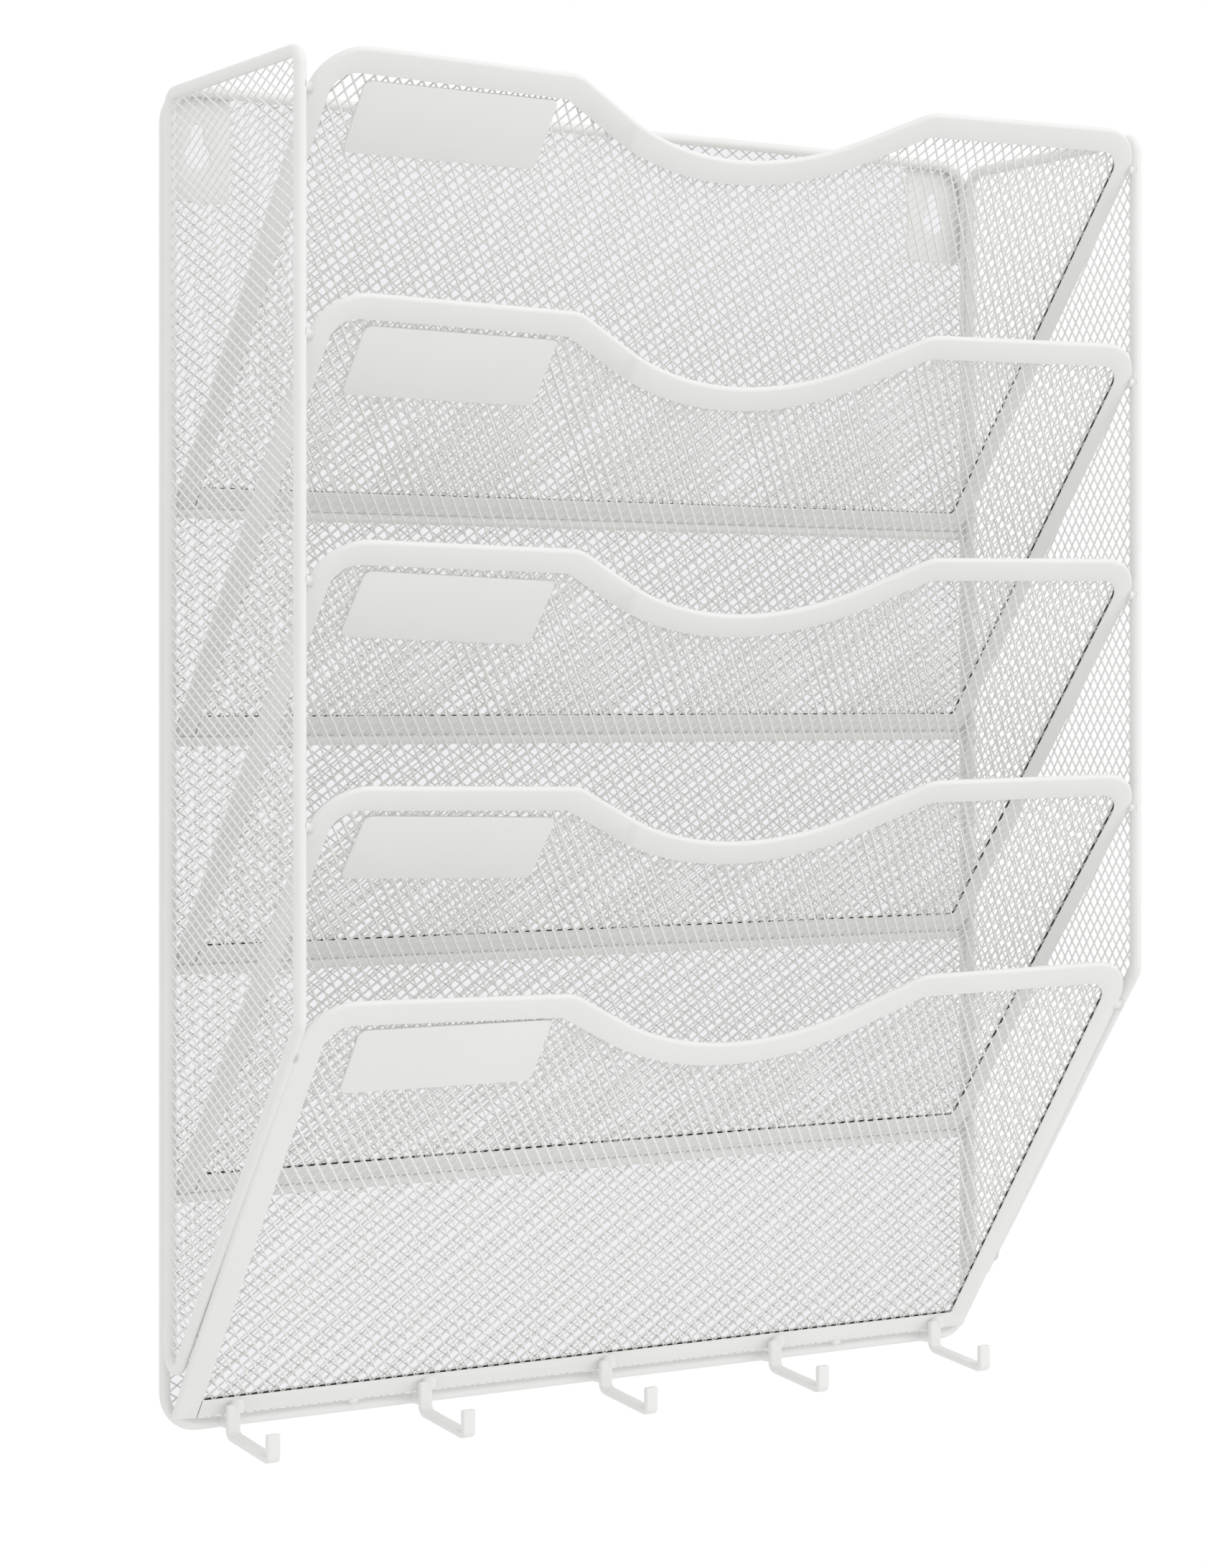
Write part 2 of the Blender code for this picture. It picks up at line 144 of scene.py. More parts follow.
def powder_coat(name, white, roughness, peel_size, thin_edges):
    """Powder coat: fine orange peel, faint clouding, uneven gloss, thinner over sharp edges."""
    material = bpy.data.materials.new(name)
    material.use_nodes = True
    tree = material.node_tree
    surface = tree.nodes["Principled BSDF"]
    place = add_node(tree, "ShaderNodeTexCoord").outputs["Object"]
    cloud = add_node(tree, "ShaderNodeTexNoise", {"Vector": place, "Scale": 21.0, "Detail": 3.0})
    flow = add_node(tree, "ShaderNodeTexNoise", {"Vector": place, "Scale": 160.0, "Detail": 4.0})
    peel = add_node(
        tree, "ShaderNodeTexNoise", {"Vector": place, "Scale": 1 / peel_size, "Detail": 2.0}
    )
    grit_scale = grit_per_peel / peel_size
    grit = add_node(tree, "ShaderNodeTexVoronoi", {"Vector": place, "Scale": grit_scale})

    warm = tuple(channel * share for channel, share in zip(white, clouded_tint))
    colour = add_node(tree, "ShaderNodeMix", data_type="RGBA")
    share = add_node(
        tree,
        "ShaderNodeMapRange",
        {
            "Value": cloud.outputs["Fac"],
            "From Min": 0.38,
            "From Max": 0.66,
            "To Min": 0.0,
            "To Max": 0.8,
        },
    )
    tree.links.new(share.outputs["Result"], colour.inputs["Factor"])
    colour.inputs["A"].default_value = (*white, 1)
    colour.inputs["B"].default_value = (*warm, 1)

    corner = add_node(tree, "ShaderNodeNewGeometry").outputs["Pointiness"]
    worn = add_node(
        tree,
        "ShaderNodeMapRange",
        {"Value": corner, "From Min": 0.53, "From Max": 0.62, "To Min": 0.0, "To Max": thin_edges},
    )
    uneven = add_node(
        tree,
        "ShaderNodeMath",
        {0: worn.outputs["Result"], 1: flow.outputs["Fac"]},
        operation="MULTIPLY",
    )
    edged = add_node(tree, "ShaderNodeMix", data_type="RGBA")
    tree.links.new(uneven.outputs[0], edged.inputs["Factor"])
    tree.links.new(colour.outputs["Result"], edged.inputs["A"])
    edged.inputs["B"].default_value = (*(channel * thin_coat_shade for channel in warm), 1)
    tree.links.new(edged.outputs["Result"], surface.inputs["Base Color"])

    gloss = add_node(
        tree,
        "ShaderNodeMapRange",
        {
            "Value": flow.outputs["Fac"],
            "From Min": 0.3,
            "From Max": 0.7,
            "To Min": roughness[0],
            "To Max": roughness[1],
        },
    )
    tree.links.new(gloss.outputs["Result"], surface.inputs["Roughness"])

    grain = add_node(
        tree,
        "ShaderNodeMath",
        {0: grit.outputs["Distance"], 1: grit_height, 2: peel.outputs["Fac"]},
        operation="MULTIPLY_ADD",
    )
    bump = add_node(
        tree,
        "ShaderNodeBump",
        {"Height": grain.outputs[0], "Strength": 0.5, "Distance": peel_size * grain_depth},
    )
    tree.links.new(bump.outputs["Normal"], surface.inputs["Normal"])
    return material


def weld_on(name, mesh, material, slot, *nodes):
    """A finished piece of the rack, which stands for these CAD nodes."""
    finishes = material if isinstance(material, list) else [material]
    finish_of_faces = [face.material_index for face in mesh.polygons]
    mesh.materials.clear()
    for finish in finishes:
        mesh.materials.append(finish)
    for face, finish_number in zip(mesh.polygons, finish_of_faces):
        face.material_index = min(finish_number, len(finishes) - 1)
    piece = bpy.data.objects.new(name, mesh)
    bpy.context.scene.collection.objects.link(piece)
    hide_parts(*nodes)
    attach(piece, "root")
    return piece


wire_coat = powder_coat(
    "coat_on_wire", wire_white, roughness=(0.36, 0.50), peel_size=0.0008, thin_edges=0.5
)
back_corners = rectangle(-half_width, half_width, 0, frame_height)
back_outline = rounded(back_corners, [back_bend_radius] * 4, [bend_steps] * 4)
back_path = [Vector((point.x, 0, point.y)) + rack_foot for point in back_outline]
weld_on("back_wire", bent_wire(back_path, back_wire_radius), wire_coat, "wire_coat", "back_frame")


# Cross wires. Four straight steel wires in the back frame's plane, one under each upper
# pocket, with their ends butt-welded to the frame's upright stretches in small fillets.
cross_wire_radius = 0.00175
cross_weld_flare = 0.0008
cross_weld_length = 0.0022
cross_weld_curve = 2.2
cross_weld_steps = 8
cross_weld_sink = 0.35
pocket_count = 5
pocket_spacing = 0.073
bar_facets = 28
bar_sharp_angle = math.radians(55)


def turned_bar(stations, squash=1.0):
    """A solid of revolution about X through (place, radius) stations, closed at both ends."""
    shape = bmesh.new()
    rings = []
    for place, radius in stations:
        ring = []
        for i in range(bar_facets):
            angle = 2 * math.pi * i / bar_facets
            across = radius * math.cos(angle)
            up = radius * squash * math.sin(angle)
            ring.append(shape.verts.new((place, across, up)))
        rings.append(ring)
    for ring, following in zip(rings, rings[1:]):
        for i in range(bar_facets):
            shape.faces.new((ring[i - 1], ring[i], following[i], following[i - 1]))
    shape.faces.new(rings[0])
    shape.faces.new(rings[-1][::-1])
    mesh = bpy.data.meshes.new("bar")
    shape.to_mesh(mesh)
    shape.free()
    return smooth_outside(mesh, bar_sharp_angle)


def cross_wire():
    """A straight wire with a fillet at each end: the left end's stations, then their mirror."""
    end = half_width - back_wire_radius * cross_weld_sink
    left = []
    for step in range(cross_weld_steps + 1):
        share = step / cross_weld_steps
        flare = cross_weld_flare * (1 - share) ** cross_weld_curve
        left.append((-end + cross_weld_length * share, cross_wire_radius + flare))
    right = [(-place, radius) for place, radius in reversed(left)]
    return turned_bar(left + right)


for number in range(1, pocket_count):
    height = pocket_spacing * (pocket_count - number)
    mesh = cross_wire()
    mesh.transform(Matrix.Translation(rack_foot + Vector((0, 0, height))))
    weld_on(f"cross_bar_{number}", mesh, wire_coat, "wire_coat", f"cross_wire_{number}")


# Back mesh. A sheet of expanded steel, slit and stretched into small diamond gaps, welded
# behind the back frame and cut away at its top corners for the hanger plates.
behind_wires = 0.0021
back_gap_across = 0.00578
back_gap_up = 0.0040
back_strand_width = 0.00052
back_strand_thickness = 0.00042
back_strand_sides = 3
back_lean = math.radians(-28)
back_net_depth = 0.00035
bond_depth = 1.7
cut_facing = 0.6
ray_start = 0.1
sheet_trim = 0.0008
plate_width = 0.024
plate_height = 0.0353
net_white = (0.92, 0.92, 0.908)
# Grey of the strands' slit edges: a thinner coat there, and painted shade on those narrow sides.
cut_grey_and_edge_shade = (0.78, 0.78, 0.765)


def expanded_steel():
    """Strands over a flat outline: each rises or falls, and four of them meet at each bond."""
    tree = bpy.data.node_groups.new("expanded_steel", "GeometryNodeTree")
    tree.is_modifier = True
    tree.interface.new_socket("Outline", in_out="INPUT", socket_type="NodeSocketGeometry")
    gap_sizes = ("Gap Across", "Gap Up")
    strand_sizes = ("Strand Width", "Strand Thickness", "Rising Lean", "Falling Lean")
    bond_sizes = ("Bond Width", "Bond Length")
    for size in gap_sizes + strand_sizes + bond_sizes:
        tree.interface.new_socket(size, in_out="INPUT", socket_type="NodeSocketFloat")
    tree.interface.new_socket("Strand Sides", in_out="INPUT", socket_type="NodeSocketInt")
    tree.interface.new_socket("Coat", in_out="INPUT", socket_type="NodeSocketMaterial")
    tree.interface.new_socket("Net", in_out="OUTPUT", socket_type="NodeSocketGeometry")
    given = add_node(tree, "NodeGroupInput").outputs

    def maths(operation, *feeds):
        node = add_node(tree, "ShaderNodeMath", dict(enumerate(feeds)), operation=operation)
        return node.outputs[0]

    def vectors(operation, *feeds):
        node = add_node(tree, "ShaderNodeVectorMath", dict(enumerate(feeds)), operation=operation)
        return node.outputs[0]

    def vector_of(x, y, z):
        return add_node(tree, "ShaderNodeCombineXYZ", {"X": x, "Y": y, "Z": z}).outputs[0]

    box = add_node(tree, "GeometryNodeBoundBox", {"Geometry": given["Outline"]}).outputs
    extents = vectors("SUBTRACT", box["Max"], box["Min"])
    spread = add_node(tree, "ShaderNodeSeparateXYZ", {0: extents}).outputs
    middle = vectors("MULTIPLY", vectors("ADD", box["Max"], box["Min"]), (0.5, 0.5, 0.5))
    steps = [maths("MULTIPLY", given["Gap Across"], 0.5), maths("MULTIPLY", given["Gap Up"], 0.5)]
    counts = []
    spans = []
    for extent, step in zip((spread["X"], spread["Y"]), steps):
        count = maths("ADD", maths("CEIL", maths("DIVIDE", extent, step)), 2.0)
        counts.append(count)
        spans.append(maths("MULTIPLY", maths("SUBTRACT", count, 1.0), step))
    grid = add_node(
        tree,
        "GeometryNodeMeshGrid",
        {"Size X": spans[0], "Size Y": spans[1], "Vertices X": counts[0], "Vertices Y": counts[1]},
    )
    here = add_node(tree, "GeometryNodeInputPosition").outputs[0]
    at = add_node(tree, "ShaderNodeSeparateXYZ", {0: here}).outputs
    tally = []
    for place, span, step in zip((at["X"], at["Y"]), spans, steps):
        from_edge = maths("MULTIPLY_ADD", span, 0.5, place)
        tally.append(maths("ROUND", maths("DIVIDE", from_edge, step)))
    falling = maths("FLOORED_MODULO", maths("ADD", *tally), 2.0)
    rising = maths("SUBTRACT", 1.0, falling)

    below = vectors("ADD", vectors("ADD", here, middle), (0.0, 0.0, -ray_start))
    hit = add_node(
        tree,
        "GeometryNodeRaycast",
        {
            "Target Geometry": given["Outline"],
            "Source Position": below,
            "Ray Direction": (0.0, 0.0, 1.0),
            "Ray Length": 2 * ray_start,
        },
    ).outputs["Is Hit"]

    slope = maths("ARCTAN2", steps[1], steps[0])
    turn = maths("MULTIPLY", slope, maths("SUBTRACT", rising, falling))
    rising_lean = maths("MULTIPLY", given["Rising Lean"], rising)
    lean = maths("MULTIPLY_ADD", given["Falling Lean"], falling, rising_lean)
    diagonal = vector_of(steps[0], steps[1], 0.0)
    reach = add_node(tree, "ShaderNodeVectorMath", {0: diagonal}, operation="LENGTH")
    length = maths("MULTIPLY_ADD", given["Strand Width"], 0.5, reach.outputs["Value"])
    bar = add_node(
        tree,
        "GeometryNodeMeshCylinder",
        {"Vertices": given["Strand Sides"], "Radius": math.sqrt(0.5), "Depth": length},
        fill_type="NGON",
    ).outputs["Mesh"]
    flat_side = vector_of(0.0, 0.0, maths("DIVIDE", math.pi, given["Strand Sides"]))
    turned = add_node(tree, "GeometryNodeTransform", {"Geometry": bar, "Rotation": flat_side})
    normal = add_node(tree, "GeometryNodeInputNormal").outputs[0]
    facing = add_node(tree, "ShaderNodeSeparateXYZ", {0: normal}).outputs
    # Marks the strands' narrow slit sides, which the coat later draws greyer as thin coat and
    # painted shade.
    across = maths("GREATER_THAN", maths("ABSOLUTE", facing["Y"]), cut_facing)
    bar = add_node(
        tree,
        "GeometryNodeStoreNamedAttribute",
        {"Geometry": turned.outputs[0], "Name": "cut_edge", "Value": across},
        data_type="FLOAT",
        domain="FACE",
    ).outputs[0]
    section = vector_of(given["Strand Thickness"], given["Strand Width"], 1.0)
    bar = add_node(
        tree,
        "GeometryNodeTransform",
        {"Geometry": bar, "Rotation": (0.0, math.pi / 2, 0.0), "Scale": section},
    ).outputs[0]
    strands = add_node(
        tree,
        "GeometryNodeInstanceOnPoints",
        {
            "Points": grid.outputs["Mesh"],
            "Selection": hit,
            "Instance": bar,
            "Rotation": vector_of(lean, 0.0, turn),
        },
    ).outputs[0]

    knot = add_node(tree, "GeometryNodeMeshUVSphere", {"Segments": 4, "Rings": 2, "Radius": 0.5})
    corner = vector_of(maths("MULTIPLY", steps[0], -0.5), maths("MULTIPLY", steps[1], -0.5), 0.0)
    depth = maths("MULTIPLY", given["Strand Thickness"], bond_depth)
    knot = add_node(
        tree,
        "GeometryNodeTransform",
        {
            "Geometry": knot.outputs["Mesh"],
            "Translation": corner,
            "Scale": vector_of(given["Bond Width"], given["Bond Length"], depth),
        },
    ).outputs[0]
    wanted = maths("GREATER_THAN", given["Bond Width"], 0.0)
    bonded = maths("MULTIPLY", maths("MULTIPLY", hit, rising), wanted)
    bonds = add_node(
        tree,
        "GeometryNodeInstanceOnPoints",
        {"Points": grid.outputs["Mesh"], "Selection": bonded, "Instance": knot},
    ).outputs[0]

    both = tree.nodes.new("GeometryNodeJoinGeometry")
    tree.links.new(strands, both.inputs[0])
    tree.links.new(bonds, both.inputs[0])
    joined = both.outputs[0]
    moved = add_node(tree, "GeometryNodeTransform", {"Geometry": joined, "Translation": middle})
    solid = add_node(tree, "GeometryNodeRealizeInstances", {"Geometry": moved.outputs[0]})
    coated = add_node(
        tree, "GeometryNodeSetMaterial", {"Geometry": solid.outputs[0], "Material": given["Coat"]}
    )
    add_node(tree, "NodeGroupOutput", {"Net": coated.outputs[0]})
    return tree


steel_net = expanded_steel()


def net_over(outline, coat, sizes):
    """A net's mesh over an outline in the XY plane, its front towards +Z."""
    shape = bmesh.new()
    shape.faces.new([shape.verts.new((point.x, point.y, 0)) for point in outline])
    flat = bpy.data.meshes.new("outline")
    shape.to_mesh(flat)
    shape.free()
    item = scratch(flat)
    made = item.modifiers.new("net", "NODES")
    made.node_group = steel_net
    values = {**sizes, "Coat": coat}
    for socket in steel_net.interface.items_tree:
        if socket.in_out == "INPUT" and socket.name in values:
            made[socket.identifier] = values[socket.name]
    return mesh_of(item)


def back_sheet_outline():
    """The back frame's outline with its top corners cut out for the hanger plates."""
    edge = half_width - sheet_trim
    top = frame_height - sheet_trim
    corners = rectangle(-edge, edge, sheet_trim, top)
    outline = rounded(corners, [back_bend_radius] * 4, [bend_steps] * 4)
    below = [point for point in outline if point.y < frame_height / 2]
    side = half_width - plate_width + sheet_trim
    shelf = frame_height - plate_height + sheet_trim
    right = [Vector((edge, shelf)), Vector((side, shelf)), Vector((side, top))]
    left = [Vector((-place.x, place.y)) for place in reversed(right)]
    return below + right + left


def grey_cuts_and_edge_shade(material, grey):
    """The coat drawn greyer over the edges where the sheet was slit: partly a thinner coat, partly
    painted shade on the strands' narrow sides.
    """
    tree = material.node_tree
    base = tree.nodes["Principled BSDF"].inputs["Base Color"]
    coat = base.links[0].from_socket
    cut = add_node(tree, "ShaderNodeAttribute", attribute_name="cut_edge").outputs["Fac"]
    mixed = add_node(tree, "ShaderNodeMix", data_type="RGBA")
    tree.links.new(cut, mixed.inputs["Factor"])
    tree.links.new(coat, mixed.inputs["A"])
    mixed.inputs["B"].default_value = (*grey, 1)
    tree.links.new(mixed.outputs["Result"], base)


net_coat = powder_coat(
    "coat_on_net", net_white, roughness=(0.40, 0.54), peel_size=0.0006, thin_edges=0.0
)
grey_cuts_and_edge_shade(net_coat, cut_grey_and_edge_shade)
back_net = net_over(
    back_sheet_outline(),
    net_coat,
    {
        "Gap Across": back_gap_across,
        "Gap Up": back_gap_up,
        "Strand Width": back_strand_width,
        "Strand Thickness": back_strand_thickness,
        "Rising Lean": back_lean,
        "Falling Lean": back_lean,
        "Bond Width": 0.0,
        "Bond Length": 0.0,
        "Strand Sides": back_strand_sides,
    },
)
facing_front = Matrix(((1, 0, 0), (0, 0, -1), (0, 1, 0))).to_4x4()
back_place = rack_foot + Vector((0, behind_wires + back_net_depth, 0))
back_net.transform(Matrix.Translation(back_place) @ facing_front)
weld_on("back_net", back_net, net_coat, "mesh_coat", "back_mesh")


# Hanger plates. Two stamped steel plates behind the back frame's top corners, each pierced
# with a keyhole: the screw's head goes through the round hole, and the slot drops onto it.
plate_thickness = 0.001
plate_corner_radius = 0.002
keyhole_inset = 0.0125
keyhole_drop = 0.0203
keyhole_radius = 0.0045
keyhole_slot_radius = 0.00225
keyhole_slot_rise = 0.00775
plate_edge_round = 0.00022
hole_steps = 40
slot_steps = 20
hole_overrun = 0.001


def sheet_solid(outline, front, thickness):
    """An outline in the XZ plane, thickened backwards from its front's Y."""
    shape = bmesh.new()
    face = shape.faces.new([shape.verts.new((point.x, front, point.y)) for point in outline])
    grown = bmesh.ops.extrude_face_region(shape, geom=[face])["geom"]
    moved = [item for item in grown if isinstance(item, bmesh.types.BMVert)]
    bmesh.ops.translate(shape, verts=moved, vec=(0, thickness, 0))
    bmesh.ops.recalc_face_normals(shape, faces=shape.faces)
    mesh = bpy.data.meshes.new("sheet")
    shape.to_mesh(mesh)
    shape.free()
    return mesh


def combined(mesh, tool_mesh, operation):
    """The mesh joined with or cut by a second one."""
    body = scratch(mesh)
    tool = scratch(tool_mesh)
    step = body.modifiers.new("combine", "BOOLEAN")
    step.operation = operation
    step.solver = "EXACT"
    step.object = tool
    result = mesh_of(body)
    bpy.data.objects.remove(tool)
    return result


def eased(mesh, width):
    """The mesh with its sharp edges rounded over, as the tumbled and coated steel has."""
    item = scratch(mesh)
    round_over = item.modifiers.new("round_over", "BEVEL")
    round_over.width = width
    round_over.segments = 3
    round_over.limit_method = "ANGLE"
    round_over.angle_limit = math.radians(50)
    return smooth_outside(mesh_of(item))


def keyhole_outline(centre):
    """A round hole with a narrower slot rising from it."""
    slot_angle = math.asin(keyhole_slot_radius / keyhole_radius)
    first = math.pi / 2 + slot_angle
    sweep = 2 * math.pi - 2 * slot_angle
    points = []
    for step in range(hole_steps + 1):
        angle = first + sweep * step / hole_steps
        points.append(centre + Vector((math.cos(angle), math.sin(angle))) * keyhole_radius)
    top = centre + Vector((0, keyhole_slot_rise))
    for step in range(slot_steps + 1):
        angle = math.pi * step / slot_steps
        points.append(top + Vector((math.cos(angle), math.sin(angle))) * keyhole_slot_radius)
    return points


rim_white = (0.86, 0.86, 0.848)
rim_coat = powder_coat(
    "coat_on_sheet", rim_white, roughness=(0.36, 0.50), peel_size=0.0009, thin_edges=0.5
)
for side_name, side in (("left", -1), ("right", 1)):
    inner = side * (half_width - plate_width)
    outer = side * half_width
    low_x, high_x = min(inner, outer), max(inner, outer)
    radii = [plate_corner_radius] * 4
    radii[2 if side > 0 else 3] = back_bend_radius
    corners = rectangle(low_x, high_x, frame_height - plate_height, frame_height)
    sheet = sheet_solid(rounded(corners, radii, [bend_steps] * 4), behind_wires, plate_thickness)
    centre = Vector((side * (half_width - keyhole_inset), frame_height - keyhole_drop))
    hole_depth = plate_thickness + 2 * hole_overrun
    hole = sheet_solid(keyhole_outline(centre), behind_wires - hole_overrun, hole_depth)
    plate = eased(combined(sheet, hole, "DIFFERENCE"), plate_edge_round)
    plate.transform(Matrix.Translation(rack_foot))
    weld_on(f"keyhole_plate_{side_name}", plate, rim_coat, "rim_coat", f"hanger_plate_{side_name}")


# Side frames. One 4 mm wire each: front, top, rear and a slanted stretch from the front
# bend back to a heel. Short weld beads tie the rear stretch to the back frame's upright.
side_wire_radius = 0.002
front_reach = 0.096
side_rear = 0.0041
side_top_drop = 0.0026
side_slant = math.radians(36.3)
side_heel_heights = {"left": 0.0112, "right": 0.0139}
side_bends = (0.0044, 0.006, 0.005, 0.005)
bead_heights = (0.030, 0.1640, 0.2970, 0.4140)
bead_half_length = 0.0042
bead_radius = 0.0015
bead_ripples = 9
bead_ripple_height = 0.07
bead_fullness = 0.12
bead_tip = 0.98

side_top = frame_height - side_top_drop
side_rise = (front_reach - side_rear) / math.tan(side_slant)


def side_corners(heel_height):
    """Heel, front bend, top front, top rear, as (distance in front of the back wires, height)."""
    return [
        Vector((side_rear, heel_height)),
        Vector((front_reach, heel_height + side_rise)),
        Vector((front_reach, side_top)),
        Vector((side_rear, side_top)),
    ]


def weld_bead(centre, half_sizes):
    """A run of weld metal: a rounded lump with a few low ripples along it."""
    shape = bmesh.new()
    bmesh.ops.create_uvsphere(shape, u_segments=20, v_segments=18, radius=1.0)
    for vertex in shape.verts:
        fall = 1 - vertex.co.z**2
        ripple = 1 + bead_ripple_height * math.sin(bead_ripples * vertex.co.z) * fall
        swell = fall**-bead_fullness if abs(vertex.co.z) < bead_tip else 1.0
        vertex.co.x *= ripple * swell * half_sizes[0]
        vertex.co.y *= ripple * swell * half_sizes[1]
        vertex.co.z *= half_sizes[2]
    bmesh.ops.translate(shape, verts=shape.verts, vec=centre)
    mesh = bpy.data.meshes.new("bead")
    shape.to_mesh(mesh)
    shape.free()
    return mesh


for side_name, side in (("left", -1), ("right", 1)):
    outline = rounded(side_corners(side_heel_heights[side_name]), side_bends, [bend_steps] * 4)
    path = [Vector((side * half_width, -point.x, point.y)) + rack_foot for point in outline]
    wire = bent_wire(path, side_wire_radius)
    for height in bead_heights:
        centre = Vector((side * half_width, -side_rear / 2, height)) + rack_foot
        bead = weld_bead(centre, (bead_radius, bead_radius, bead_half_length))
        wire = combined(wire, bead, "UNION")
    smooth_outside(wire)
    weld_on(f"side_wire_{side_name}", wire, wire_coat, "wire_coat", f"side_frame_{side_name}")


# Side meshes. Expanded steel cut to the side frames and welded to their wires all round.
# The two sheets are cut the opposite way of the grain: long gaps lie flat on the left side
# and stand upright on the right one.
left_gap_across, left_gap_up = 0.0066, 0.00357
right_gap_across, right_gap_up = 0.00397, 0.0058
side_strand_width = 0.00054
side_strand_thickness = 0.00042
side_lean = math.radians(30)
strand_sides = 4
bond_long = 0.0021
bond_short = 0.0010
side_net_trim = 0.0007
facing_left = Matrix(((0, 0, -1), (-1, 0, 0), (0, 1, 0))).to_4x4()


def drawn_in(corners, distances):
    """An anticlockwise outline with each edge moved inwards by its own distance."""
    count = len(corners)
    edges = []
    for i in range(count):
        along = (corners[(i + 1) % count] - corners[i]).normalized()
        edges.append((corners[i] + Vector((-along.y, along.x)) * distances[i], along))
    result = []
    for i in range(count):
        start, along = edges[i - 1]
        other, across = edges[i]
        reach = (other - start).cross(across) / along.cross(across)
        result.append(start + along * reach)
    return result


def side_sheet_outline(side_name):
    """The side frame's outline, drawn in to the middle of its wire."""
    corners = drawn_in(side_corners(side_heel_heights[side_name]), [side_net_trim] * 4)
    return rounded(corners, [bend - side_net_trim for bend in side_bends], [bend_steps] * 4)


left_net = net_over(
    side_sheet_outline("left"),
    net_coat,
    {
        "Gap Across": left_gap_across,
        "Gap Up": left_gap_up,
        "Strand Width": side_strand_width,
        "Strand Thickness": side_strand_thickness,
        "Rising Lean": -side_lean,
        "Falling Lean": -side_lean,
        "Bond Width": bond_long,
        "Bond Length": bond_short,
        "Strand Sides": strand_sides,
    },
)
right_net = net_over(
    side_sheet_outline("right"),
    net_coat,
    {
        "Gap Across": right_gap_across,
        "Gap Up": right_gap_up,
        "Strand Width": side_strand_width,
        "Strand Thickness": side_strand_thickness,
        "Rising Lean": side_lean,
        "Falling Lean": -side_lean,
        "Bond Width": bond_short,
        "Bond Length": bond_long,
        "Strand Sides": strand_sides,
    },
)
for side_name, side, net in (("left", -1, left_net), ("right", 1, right_net)):
    net.transform(Matrix.Translation(rack_foot + Vector((side * half_width, 0, 0))) @ facing_left)
    weld_on(f"side_net_{side_name}", net, net_coat, "mesh_coat", f"side_mesh_{side_name}")


# Pocket rims. Each is a sheet-steel band folded back over the net's edge, with a finger
# notch in its top. The left band runs down past the bottom one, which butts against it.
# Weld nubs tie it to the front wires. The inside of the fold is painted near-black, a painted
# shade for the deep crevice there.
upper_tilt = math.radians(38.3)
lowest_tilt = math.radians(35.0)
lowest_forward = 0.0012
touch_gap = 0.0003
lowest_stand_off = 0.0024
rim_overhang = 0.0092
lowest_overhang = 0.0042
rim_side_clearance = 0.0007
lowest_left_outset = 0.0020
lowest_right_inset = 0.0008
lowest_side_band = 0.00875
bottom_band = 0.0078
side_band = 0.0071
top_band = 0.0085
rim_corner_radius = 0.0165
knee_radius = 0.013
notch_depth = 0.0256
notch_radius = 0.093
notch_slope = math.radians(29.0)
shoulder_slope = math.radians(1.2)
rim_front = -0.0005
rim_sheet = 0.0006
fold_radius = 0.00115
fold_crease = 0.0003
fold_steps = 10
flange_share = 0.93
flange_thickness = 0.00045
rim_edge_round = 0.0002
rim_foot_radius = 0.001
knee_steps = 9
notch_steps = 30
butt_width = 0.0004
butt_start = 0.0005
butt_overrun = 0.0004
butt_depth = 0.0012
nub_waist = 0.00125
nub_flare = 0.0008
nub_curve = 4
nub_steps = 12
nub_squash = 1.25
nub_sink_in_rim = 0.0012
nub_sink_in_wire = 0.55
tack_places = (-0.094, 0.100)
tack_depth = 0.0002
tack_drop = 0.0005
tack_half_sizes = (0.0019, 0.0012, 0.0011)
# Near-black colour for the inside of the rims' folds: painted shade in the crevice.
fold_shade_black = (0.09, 0.09, 0.088)

half_rim = half_width - side_wire_radius - rim_side_clearance
upper_nub_height = front_reach / math.sin(upper_tilt)
# Each nub as its side, its depth behind the pocket's plane and its height up it.
upper_nubs = [(-1, 0.0003, upper_nub_height), (1, 0.0003, upper_nub_height)]
lowest_nubs = [(-1, 0.0007, 0.155), (-1, 0.0022, 0.0365), (1, 0.0012, 0.155), (1, 0.0030, 0.0365)]


def rim_corners(bottom, top, left, right):
    """The rim's corners: bottom, right side, notch and left side, anticlockwise."""
    notch_point = top - notch_depth - notch_radius * (1 / math.cos(notch_slope) - 1)
    shoulder_start = half_rim - rim_corner_radius
    shoulder_fall = math.tan(shoulder_slope)
    notch_rise = math.tan(notch_slope)
    knee = (top - shoulder_start * shoulder_fall - notch_point) / (notch_rise - shoulder_fall)
    knee_height = notch_point + knee * notch_rise
    side_height = top + rim_corner_radius * shoulder_fall
    return [
        Vector((left, bottom)),
        Vector((right, bottom)),
        Vector((right, side_height)),
        Vector((knee, knee_height)),
        Vector((0, notch_point)),
        Vector((-knee, knee_height)),
        Vector((left, side_height)),
    ]


def inner_corners(reach, distance, share):
    """The rim's corners drawn in by a distance plus a share of each band's width."""
    *places, sides = reach
    bands = [bottom_band, sides] + [top_band] * 4 + [sides]
    return drawn_in(rim_corners(*places), [distance + band * share for band in bands])


def rim_line(reach, distance, share):
    """The rim's outline through those corners, with its bends and its notch rounded."""
    corners = inner_corners(reach, distance, share)
    tops = distance + top_band * share
    foot = max(rim_foot_radius - distance, rim_edge_round)
    corner = rim_corner_radius - tops
    knee = knee_radius - tops
    radii = [foot, foot, corner, knee, notch_radius + tops, knee, corner]
    steps = [bend_steps] * 3 + [knee_steps, notch_steps, knee_steps, bend_steps]
    return rounded(corners, radii, steps)


